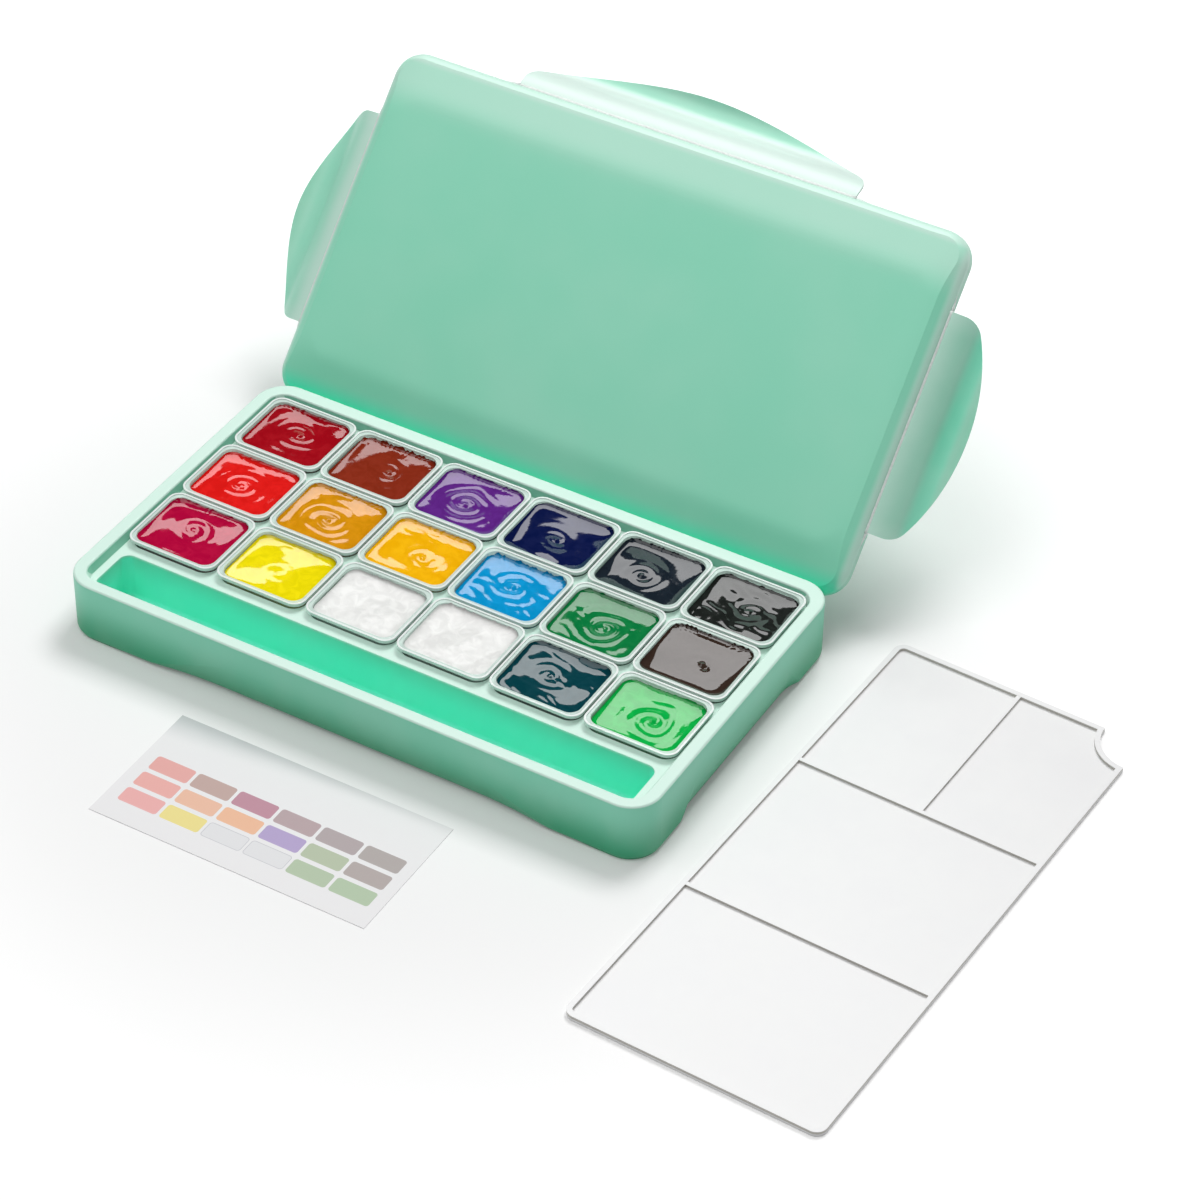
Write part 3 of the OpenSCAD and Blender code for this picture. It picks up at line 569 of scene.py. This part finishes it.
def white_plastic():
    """White palette plastic, faintly mottled; the rim's and ribs' sides are greyer, a painted
    shade.
    """
    m = new_material("white_plastic")
    where, (_, _, z) = m.place()
    cloud = m.noise(where, 0.040, 3.0)
    grain = m.noise(where, 0.0010, 2.0, 0.6)
    colour = m.mix(m.soft(cloud, 0.3, 0.7), (0.835, 0.835, 0.840), (0.865, 0.865, 0.865))
    # painted shade on the sides of the palette's rim and ribs
    side = m.soft(z, *RIB_UP) * m.soft(z, *RIB_TOP)
    colour = m.mix(side, colour, (0.560, 0.540, 0.490))
    return m.finish(Base_Color=colour, Roughness=0.32 + (cloud - 0.5) * 0.12, IOR=1.49,
                    Normal=m.bump(grain, 0.000015))


def film_plastic():
    """Creased film of the hinges, whitened by bending."""
    m = new_material("hinge_film")
    where, _ = m.place()
    streak = m.noise(where, 0.0015, 2.0)
    colour = m.mix(m.soft(streak, 0.35, 0.7), tuple(look("hinge").colour), (0.72, 0.78, 0.75))
    return m.finish(Base_Color=colour, Roughness=0.38, IOR=1.49,
                    Normal=m.bump(streak, 0.00006))


def wet_paint(name, colour):
    """Glossy gouache: darker and richer by the wall, a painted shade, with faint unmixed
    streaks.

    The white paints mirror less, so that they don't clip.
    """
    m, p = new_material("paint_" + name), look("paint")
    where, _ = m.place()
    wall = m.out("ShaderNodeAttribute", {"attribute_name": "wall"}, output="Fac")
    streak = m.noise(where, 0.0060, 3.0, 0.5, 1.2)
    wall_shade_tone, dull = tuple(c * 0.42 for c in colour), tuple(c * 0.93 for c in colour)
    light = tuple(min(1.0, c * 1.06 + 0.004) for c in colour)
    tone = m.mix(m.soft(streak, 0.35, 0.70), dull, light)
    # painted shade where the paint meets the cup's wall
    tone = m.mix(wall * 0.85, tone, wall_shade_tone)
    fine = m.noise(where, 0.0030, 2.0, 0.4, 0.4)
    mirror = WHITE_MIRROR if min(colour) > 0.5 else MIRROR
    return m.finish(Base_Color=tone, Roughness=p.gloss + (streak - 0.5) * 0.03, IOR=1.47,
                    Specular_IOR_Level=mirror, Normal=m.bump(fine, 0.000018))


def card_print():
    """Pale card with a grid of printed tints, rounded and ruled, on satin paper.

    A place's nearest swatch gives its column and row; `away` is its distance from
    that swatch's rounded outline, below zero inside it.  COMPARE is 1 where a value
    is near another: columns 0 to 5 and rows 0 to 2 are on the grid, and the pale
    swatches, which get a line round them, are in columns 2 and 3 of the last row.
    """
    m = new_material("card_print")
    where, (x, y, _) = m.place()
    u, v = (x - FIRST_X) / PITCH_X, (y - FIRST_Y) / PITCH_Y
    col, row = m.math("ROUND", u), m.math("ROUND", v)
    dx = m.most(abs((u - col) * PITCH_X) - SWATCH_X, 0.0)
    dy = m.most(abs((v - row) * PITCH_Y) - SWATCH_Y, 0.0)
    away = m.length(dx, dy) - SWATCH_R
    on_grid = m.math("COMPARE", col, 2.5, 2.6) * m.math("COMPARE", row, 1.0, 1.1)
    inside = m.soft(away, 0.00010, -0.00010) * on_grid
    line = m.soft(abs(away), 0.00022, 0.00008) * on_grid
    ramps = []
    for tints in TINTS:
        stops = [(k / COLUMNS, c) for k, c in enumerate(tints)]
        ramps.append(m.out("ShaderNodeValToRGB", {"ramp": "CONSTANT", "stops": stops},
                           {0: (col + 0.5) / COLUMNS}))
    tint = m.mix(m.math("GREATER_THAN", row, 0.5), ramps[0], ramps[1])
    tint = m.mix(m.math("GREATER_THAN", row, 1.5), tint, ramps[2])
    fibre = m.noise(where, 0.0006, 3.0, 0.7)
    blotch = m.noise(where, 0.02, 2.0)
    # painted shade: the paper greys towards the card's far edge
    far = m.soft(y - x * 0.10, *CARD_FAR_SHADE)
    paper = m.mix(far, (0.84, 0.83, 0.84), (0.56, 0.585, 0.59))
    paper = m.mix(m.soft(blotch, 0.3, 0.7) * 0.10, paper, (0.86, 0.86, 0.88))
    colour = m.mix(inside, paper, m.mix(0.28, tint, paper))
    pale_swatch = m.math("COMPARE", col, 2.5, 0.6) * m.math("GREATER_THAN", row, 1.5)
    colour = m.mix(line * pale_swatch * 0.5, colour, (0.30, 0.30, 0.36))
    return m.finish(Base_Color=colour, Roughness=0.50 + (fibre - 0.5) * 0.2, IOR=1.45,
                    Normal=m.bump(fibre, 0.00002))


# ------------------------------------------------------------------- surfaces
def surface(name, rings):
    """Closed mesh of a grid of rings, shape (rows, around, 3), joined round each ring.

    The first and the last row are joined to their own mean point.  Faces point
    outwards: the enclosed volume, a sixth of the sum of each face's triple
    product, is made positive.
    """
    rows, around, _ = rings.shape
    last, n = (rows - 1) * around, rows * around
    verts = np.vstack([rings.reshape(-1, 3), rings[0].mean(0), rings[-1].mean(0)])
    r, k = np.meshgrid(np.arange(rows - 1) * around, np.arange(around), indexing="ij")
    k2 = (k + 1) % around
    quads = np.stack([r + k, r + k2, r + around + k2, r + around + k], -1).reshape(-1, 4)
    a = np.arange(around)
    b = (a + 1) % around
    tris = np.vstack([np.stack([b, a, np.full_like(a, n)], -1),
                      np.stack([a + last, b + last, np.full_like(a, n + 1)], -1)])
    fan = np.vstack([quads[:, [0, 1, 2]], quads[:, [0, 2, 3]], tris])
    c = verts[fan]
    if np.einsum("ij,ij->i", c[:, 0], np.cross(c[:, 1], c[:, 2])).sum() < 0:
        quads, tris = quads[:, ::-1], tris[:, ::-1]
    mesh = bpy.data.meshes.new(name)
    mesh.from_pydata(verts.tolist(), [], quads.tolist() + tris.tolist())
    mesh.shade_smooth()
    piece = bpy.data.objects.new(name, mesh)
    bpy.context.scene.collection.objects.link(piece)
    return piece


def keep_values(piece, name, values):
    """Stores one number for each vertex."""
    attribute = piece.data.attributes.new(name, "FLOAT", "POINT")
    attribute.data.foreach_set("value", np.asarray(values, np.float32))


def round_loop(n, cx, cy):
    """Walk round a rounded rectangle whose corner centres are at +-cx, +-cy.

    Gives for each of n steps the nearest corner-centre point and the outward
    normal; a ring of radius r is point + r * normal.  Straights and corners
    share the steps in proportion to their length at a radius of 5 mm.
    """
    arc = 0.005 * math.pi / 2
    sides = [2 * cy, arc, 2 * cx, arc, 2 * cy, arc, 2 * cx, arc]
    s = np.arange(n) / n * sum(sides)
    edge = np.concatenate([[0], np.cumsum(sides)])
    part = np.clip(np.searchsorted(edge, s, side="right") - 1, 0, 7)
    t = (s - edge[part]) / np.array(sides)[part]
    corner = np.array([[cx, -cy], [cx, cy], [-cx, cy], [-cx, -cy]])
    leg = part // 2
    start = corner[leg]
    end = corner[(leg + 1) % 4]
    straight = (part % 2 == 0)[:, None]
    centre = np.where(straight, start + (end - start) * t[:, None], end)
    angle = (leg + np.where(part % 2 == 0, 0.0, t)) * (math.pi / 2)
    return centre, np.stack([np.cos(angle), np.sin(angle)], -1)


def inner_radius(z):
    """Inner corner radius of a cup at height z: the outer one there, less the wall."""
    return CUP_R0 + CUP_LEAN * (z - CUP_LOW) - CUP_WALL


def ripples(rng, x, y, size, count=7):
    """Sum of `count` random sine waves, each about `size` long, mostly in -1..1."""
    total = np.zeros_like(x)
    for _ in range(count):
        turn, shift = rng.uniform(0, 2 * math.pi, 2)
        k = 2 * math.pi / (size * rng.uniform(0.75, 1.5))
        total += np.sin(k * (x * math.cos(turn) + y * math.sin(turn)) + shift)
    return total / math.sqrt(count * 2)


def paint_heights(rng, x, y, gap, style):
    """Height of the paint above its level at x, y; gap is the distance to the wall.

    Broad waves and a slope, a spiral of ridges that fades from its middle, a nib
    with a dent beside it, and warped wrinkles; all sink to nothing at the wall.
    """
    p = look("paint")
    mx, my = rng.uniform(-STRAY, STRAY, 2)
    dx, dy = x - mx, (y - my) * FLATTEN
    r = np.hypot(dx, dy)
    turn = np.arctan2(dy, dx)
    hand = rng.choice([-1, 1])
    warp = ripples(rng, x, y, WARP) * WARP_BY
    spiral = np.cos(hand * turn + 2 * math.pi * r / SPIRAL_PITCH + warp)
    spiral = np.sign(spiral) * np.abs(spiral) ** 0.8
    fade = np.exp(-(r / SPIRAL_REACH) ** 2) * (1 - np.exp(-(r / SPIRAL_EYE) ** 2))
    z = style.wave * p.wave * ripples(rng, x, y, BROAD)
    z += style.swirl * p.ridge * spiral * fade
    z += style.nib * NIB_UP * np.exp(-(r / NIB_R) ** 2)
    dent = np.exp(-(((dx - DENT_X) ** 2 + (dy - DENT_Y) ** 2) / DENT_R ** 2))
    z -= style.nib * DENT_DOWN * dent
    bend = ripples(rng, x, y, BEND)
    creases = np.sin(2 * math.pi * (x * 0.6 + y) / WRINKLE_PITCH + BEND_BY * bend)
    patches = 0.5 + 0.5 * ripples(rng, x, y, PATCH)
    z += style.wrinkle * p.ridge * WRINKLE_SHARE * creases * patches
    z += y * math.tan(math.radians(style.slope))
    return z * (1 - np.exp(-(gap / CALM) ** 2))


def bowl(x, y):
    """How far the paint rises towards the back and the sides of its cup.

    Falls off exponentially with the distance from each wall, the back one most.
    """
    back = np.exp((y - HALF_Y) / BACK_REACH)
    left = LEFT_SHARE * np.exp(-(HALF_X + x) / LEFT_REACH)
    right = RIGHT_SHARE * np.exp((x - HALF_X) / RIGHT_REACH)
    return look("paint").bowl * (back + left + right)


def contact_line(rng, reach, level, wet, style):
    """Height of the line where the paint meets the wall, and the climb in it.

    The level, plus the climb, plus ragged film on the wall behind, plus the bowl;
    `reach` holds places on the wall, `wet` the same at the paint's level.
    """
    x, y = reach.T
    back = np.clip(y / BACK_WALL, 0, 1) ** 4
    ragged = ripples(rng, x, y, TEAR) + 0.8 * ripples(rng, x, y, TOOTH) + 0.2
    climb = look("paint").climb * (1 + 0.4 * ripples(rng, x, y, CLIMB_WAVE))
    climb = climb + style.film * FILM_UP * back * np.clip(ragged, 0, 1.6)
    return np.minimum(level + climb + bowl(*wet.T), PAINT_TOP), climb


def paint_surface(index):
    """One fill of paint: down the cup's inside, and a stirred, wet top.

    Rings run from the middle of the bottom out, up the wall to the contact
    line, and back in to the middle of the top.  The value "wall" carries the paint's
    painted shade: it is 1 on the sides; on the top it fades with the distance from
    the wall, and in front it is about a third as strong as at the back.
    """
    name, colour, *style = CUPS[index]
    style = Style(*style)
    j, i = index // COLUMNS + 1, index % COLUMNS + 1
    node = f"paint_{j}_{i}"
    low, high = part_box(node)
    level = high.z - BELOW_FILL
    around = 288
    centre, normal = round_loop(around, CUP_CX, CUP_CY)
    reach = centre + normal * LEVEL_R
    contact, climb = contact_line(np.random.default_rng(WALL_SEED + index), reach, level,
                                  centre + normal * inner_radius(level), style)
    rings = []
    for share in BOTTOM_RINGS:
        ring = (centre + normal * inner_radius(low.z)) * share
        rings.append(np.column_stack([ring, np.full(around, low.z)]))
    for share in SIDE_RINGS:
        z = low.z + (contact - low.z) * share
        ring = centre + normal * inner_radius(z)[:, None]
        rings.append(np.column_stack([ring, z]))
    sides = [np.zeros(around)] * len(BOTTOM_RINGS) + [np.ones(around)] * len(SIDE_RINGS)

    rim = centre + normal * inner_radius(contact)[:, None]
    even = np.linspace(*TOP_RINGS, 34)
    gap = np.concatenate([EDGE_RINGS, even])[:, None]
    x, y = np.moveaxis(rim * (1 - gap[:, :, None] / MIDDLE), -1, 0)
    z = level + climb * np.exp(-gap / CLIMB_FADE) + bowl(x, y)
    z += paint_heights(np.random.default_rng(TOP_SEED + index), x, y, gap, style)
    # the painted shade by the wall, about a third as strong in front as at the back
    strong = 0.35 + 0.65 * np.clip(reach[:, 1] / 0.016, 0, 1) ** 2
    top = strong * np.exp(-gap / PAINT_SHADE_FADE)

    rings = np.concatenate([rings, np.stack([x, y, z], -1)])
    rings[:, :, :2] += np.array([(low.x + high.x) / 2, (low.y + high.y) / 2])
    piece = surface("gouache_" + name, rings)
    keep_values(piece, "wall", np.concatenate([np.ravel(sides), np.ravel(top), [0, 0]]))
    piece.data.materials.append(wet_paint(name, colour))
    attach(piece, f"cup_{j}_{i}")
    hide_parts(node)
    return piece


def lid_point(u, v, w):
    """World points from lid coordinates: u across, v up the lid, w out of its face."""
    u, v, w = np.broadcast_arrays(u, v, w)
    return (np.array([LID_X, LID_Y, LID_Z]) + u[..., None] * np.array([1.0, 0.0, 0.0])
            + v[..., None] * LID_UP + w[..., None] * LID_OUT)


def hinge_tube(name, flap, along, radius, around, film):
    """Tube of film along a flap's hinge, of the given radius at each place along it."""
    (u0, v0), (du, dv), _ = HINGES[flap]
    s, a = np.meshgrid(along, np.arange(around) / around * 2 * math.pi, indexing="ij")
    side = radius[:, None] * np.cos(a)
    out = radius[:, None] * np.sin(a)
    piece = surface(name, lid_point(u0 + du * s + dv * side, v0 + dv * s - du * side, out))
    piece.data.materials.append(film)
    return piece


def film_roll(flap, film):
    """Roll of film in a hinge's groove: a circle, a little wavy along the hinge."""
    along = np.linspace(-0.5, 0.5, 60) * (HINGES[flap][2] + ROLL_SPARE)
    wobble = 1 - WOBBLE * (1 + np.sin(along * WOBBLE_TURN))
    piece = hinge_tube("film_" + flap, flap, along, look("hinge").radius * wobble, 20, film)
    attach(piece, flap)


def film_webs(film):
    """Short webs where each hinge runs out into the lid's edge.

    Each is a spindle along the crease whose radius falls as a half cosine.
    """
    t = np.linspace(0, 1, 16)
    radius = WEB_TIP + WEB_SWELL * (1 + np.cos(math.pi * t)) / 2
    for flap, (_, _, length) in HINGES.items():
        for letter, end in (("a", -1), ("b", 1)):
            along = end * (length / 2 + WEB_GAP + t * look("hinge").web)
            piece = hinge_tube(f"web_{flap}_{letter}", flap, along, radius, 16, film)
            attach(piece, "lid")


# ---------------------------------------------------------------------- studio
def pale_floor():
    """Pale floor with a little light of its own where it is seen.

    That light grows with the distance from the box, so that the floor ends in
    white and the shadows stay deep by the box.
    """
    mesh = bpy.data.meshes.new("floor")
    signs = [(-1, -1), (1, -1), (1, 1), (-1, 1)]
    corners = [(x * FLOOR_HALF, y * FLOOR_HALF, 0) for x, y in signs]
    mesh.from_pydata(corners, [], [(0, 1, 2, 3)])
    ground = bpy.data.objects.new("floor", mesh)
    bpy.context.scene.collection.objects.link(ground)
    m = new_material("pale_floor")
    path = m.node("ShaderNodeLightPath").outputs
    seen = m.most(*(Wire(m, path[ray]) for ray in (
        "Is Camera Ray", "Is Glossy Ray", "Is Transmission Ray")))
    where, (x, y, _) = m.place()
    tone = m.mix(m.noise(where, 0.2, 2.0), (0.84, 0.84, 0.84), (0.86, 0.86, 0.86))
    away, glow = m.length(x, y), FLOOR_GLOW
    for near, far, more in FLOOR_STEPS:
        glow = glow + m.soft(away, near, far) * more
    light = m.mix(seen * glow, (0.0, 0.0, 0.0), (1.0, 1.0, 1.0))
    mesh.materials.append(m.finish(
        Base_Color=tone, Roughness=0.9, Specular_IOR_Level=0.1,
        Emission_Color=light, Emission_Strength=1.0))


def studio_world():
    """Even white room: full to the camera and through glass, dimmed in gloss."""
    world = bpy.data.worlds.new("studio")
    bpy.context.scene.world = world
    m, s = Maker(world), look("stage")
    path = m.node("ShaderNodeLightPath").outputs
    level = s.world
    for ray, value in (("Is Glossy Ray", s.shine), ("Is Transmission Ray", 1.0),
                       ("Is Camera Ray", 1.0)):
        level = m.out("ShaderNodeMix", None, {0: Wire(m, path[ray]), 2: level, 3: value})
    room = m.out("ShaderNodeBackground", None, {"Color": (1.0, 1.0, 1.0), "Strength": level})
    m.node("ShaderNodeOutputWorld", None, {"Surface": room})


def studio_lamps():
    """The soft lamps of LAMPS, none of them seen by the camera."""
    for name, (place, aim, size, setting, spread, mirrored) in LAMPS.items():
        light = bpy.data.lights.new(name, "AREA")
        light.shape, (light.size, light.size_y) = "RECTANGLE", size
        light.energy = getattr(look("stage"), setting)
        lamp = bpy.data.objects.new(name, light)
        lamp.location = place
        lamp.rotation_euler = (Vector(aim) - Vector(place)).to_track_quat("-Z", "Y").to_euler()
        lamp.visible_camera = False
        lamp.visible_diffuse, lamp.visible_glossy = spread, mirrored
        bpy.context.scene.collection.objects.link(lamp)


def studio_camera():
    """The photograph's camera."""
    lens = bpy.data.cameras.new("camera")
    lens.lens, lens.sensor_width = look("stage").lens, 36.0
    lens.clip_start, lens.clip_end = 0.05, 50.0
    camera = bpy.data.objects.new("camera", lens)
    right, back = Vector(CAMERA_RIGHT).normalized(), Vector(CAMERA_BACK).normalized()
    up = back.cross(right).normalized()
    turn = Matrix((right, up, back)).transposed().to_4x4()
    camera.matrix_world = Matrix.Translation(CAMERA_AT) @ turn
    bpy.context.scene.collection.objects.link(camera)
    bpy.context.scene.camera = camera


# ------------------------------------------------------------------ operators
class PAINTSET_OT_box(bpy.types.Operator):
    """Gives the tray, the lid and its flaps their moulded plastic"""

    bl_idname = "paintset.box"
    bl_label = "Tray and Lid"

    def execute(self, context):
        wear("base", tray_plastic())
        wear("lid", lid_plastic())
        for name in HINGES:
            wear(name, flap_plastic(name))
        return {"FINISHED"}


class PAINTSET_OT_hinges(bpy.types.Operator):
    """Adds the creased films that the latch flaps turn on"""

    bl_idname = "paintset.hinges"
    bl_label = "Hinge Films"

    def execute(self, context):
        film = film_plastic()
        for flap in HINGES:
            film_roll(flap, film)
        film_webs(film)
        return {"FINISHED"}


class PAINTSET_OT_cups(bpy.types.Operator):
    """Gives the eighteen cups their clear plastic"""

    bl_idname = "paintset.cups"
    bl_label = "Clear Cups"

    def execute(self, context):
        clear = clear_plastic()
        for index in range(len(CUPS)):
            wear(f"cup_{index // COLUMNS + 1}_{index % COLUMNS + 1}", clear)
        return {"FINISHED"}


class PAINTSET_OT_paints(bpy.types.Operator):
    """Fills the cups with stirred, wet gouache"""

    bl_idname = "paintset.paints"
    bl_label = "Gouache"

    def execute(self, context):
        for index in range(len(CUPS)):
            paint_surface(index)
        return {"FINISHED"}


class PAINTSET_OT_palette(bpy.types.Operator):
    """Gives the mixing palette its white plastic"""

    bl_idname = "paintset.palette"
    bl_label = "Palette"

    def execute(self, context):
        wear("palette", white_plastic())
        return {"FINISHED"}


class PAINTSET_OT_card(bpy.types.Operator):
    """Prints the colour card"""

    bl_idname = "paintset.card"
    bl_label = "Colour Card"

    def execute(self, context):
        wear("colour_card", card_print())
        return {"FINISHED"}


class PAINTSET_OT_stage(bpy.types.Operator):
    """Sets up the pale floor, the soft lights and the camera"""

    bl_idname = "paintset.stage"
    bl_label = "Studio"

    def execute(self, context):
        context.scene.view_settings.view_transform = "Standard"
        pale_floor()
        studio_world()
        studio_lamps()
        studio_camera()
        return {"FINISHED"}


STEPS = (PAINTSET_OT_stage, PAINTSET_OT_box, PAINTSET_OT_hinges, PAINTSET_OT_cups,
         PAINTSET_OT_paints, PAINTSET_OT_palette, PAINTSET_OT_card)


class PAINTSET_PT_panel(bpy.types.Panel):
    """Sizes, colours and steps of the paint set"""

    bl_idname = "PAINTSET_PT_panel"
    bl_label = "Paint Set"
    bl_space_type = "VIEW_3D"
    bl_region_type = "UI"
    bl_category = "Paint Set"

    def draw(self, context):
        for name, group in LOOKS.items():
            column = self.layout.column(align=True)
            column.label(text=group.__doc__)
            for field in group.__annotations__:
                column.prop(look(name), field)
        for step in STEPS:
            self.layout.operator(step.bl_idname)


def register():
    for cls in (*LOOKS.values(), *STEPS, PAINTSET_PT_panel):
        bpy.utils.register_class(cls)
    for name, group in LOOKS.items():
        setattr(bpy.types.Scene, "paintset_" + name, bpy.props.PointerProperty(type=group))


def unregister():
    for name in LOOKS:
        delattr(bpy.types.Scene, "paintset_" + name)
    for cls in reversed((*LOOKS.values(), *STEPS, PAINTSET_PT_panel)):
        bpy.utils.unregister_class(cls)


def main():
    """Registers the add-on and runs its steps."""
    register()
    for step in STEPS:
        group, action = step.bl_idname.split(".")
        getattr(getattr(bpy.ops, group), action)()


if __name__ == "__main__":
    main()
